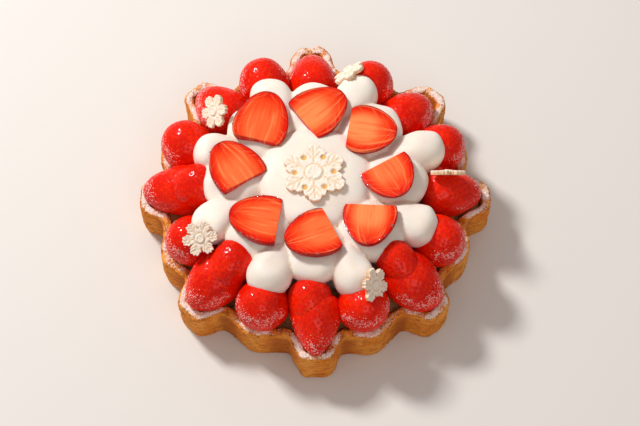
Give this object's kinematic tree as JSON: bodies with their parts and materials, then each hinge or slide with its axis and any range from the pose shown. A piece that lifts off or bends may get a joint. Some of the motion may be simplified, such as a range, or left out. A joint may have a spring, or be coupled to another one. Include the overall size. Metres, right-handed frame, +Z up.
{
  "type": "strawberry tart",
  "caption": "Round scalloped pastry tart filled with baked cream, topped with glazed whole and halved strawberries, piped whipped cream and moulded snowflakes.",
  "frame": {"origin": "the tart's axis at the underside of the crust, where it rests", "axes": "+Z up through the cream; -Y towards the front lobe of the crust; +X to the right seen from the front"},
  "size_m": [0.197, 0.202, 0.0594],
  "materials": {
    "pastry": "baked golden pastry, dry, dusted with sugar along the rim",
    "baked_filling": "soft baked cream",
    "whipped_cream": "smooth soft whipped cream",
    "strawberry": "wet red skin with seeds and clear glaze",
    "cut_strawberry": "moist cut flesh with pale streaks",
    "sugar_paste": "ivory moulded sugar"
  },
  "bodies": {
    "root": {"crust": "pastry", "filling": "baked_filling", "cream": "whipped_cream", "berry_lobe_0": "strawberry", "berry_lobe_1": "strawberry", "berry_lobe_2": "strawberry", "berry_lobe_3": "strawberry", "berry_lobe_4": "strawberry", "berry_lobe_5": "strawberry", "berry_lobe_6": "strawberry", "berry_lobe_7": "strawberry", "berry_bulge_0": "strawberry", "berry_bulge_1": "strawberry", "berry_bulge_2": "strawberry", "berry_bulge_3": "strawberry", "berry_bulge_4": "strawberry", "berry_bulge_5": "strawberry", "berry_bulge_6": "strawberry", "berry_bulge_7": "strawberry", "berry_upper_0": "strawberry", "berry_upper_1": "strawberry", "berry_upper_6": "strawberry", "berry_upper_7": "strawberry", "half_0": "cut_strawberry", "half_1": "cut_strawberry", "half_2": "cut_strawberry", "half_3": "cut_strawberry", "half_4": "cut_strawberry", "half_5": "cut_strawberry", "half_6": "cut_strawberry", "half_7": "cut_strawberry", "snowflake_large": "sugar_paste", "snowflake_0": "sugar_paste", "snowflake_2": "sugar_paste", "snowflake_3": "sugar_paste", "snowflake_5": "sugar_paste", "snowflake_6": "sugar_paste"}
  },
  "joints": []
}
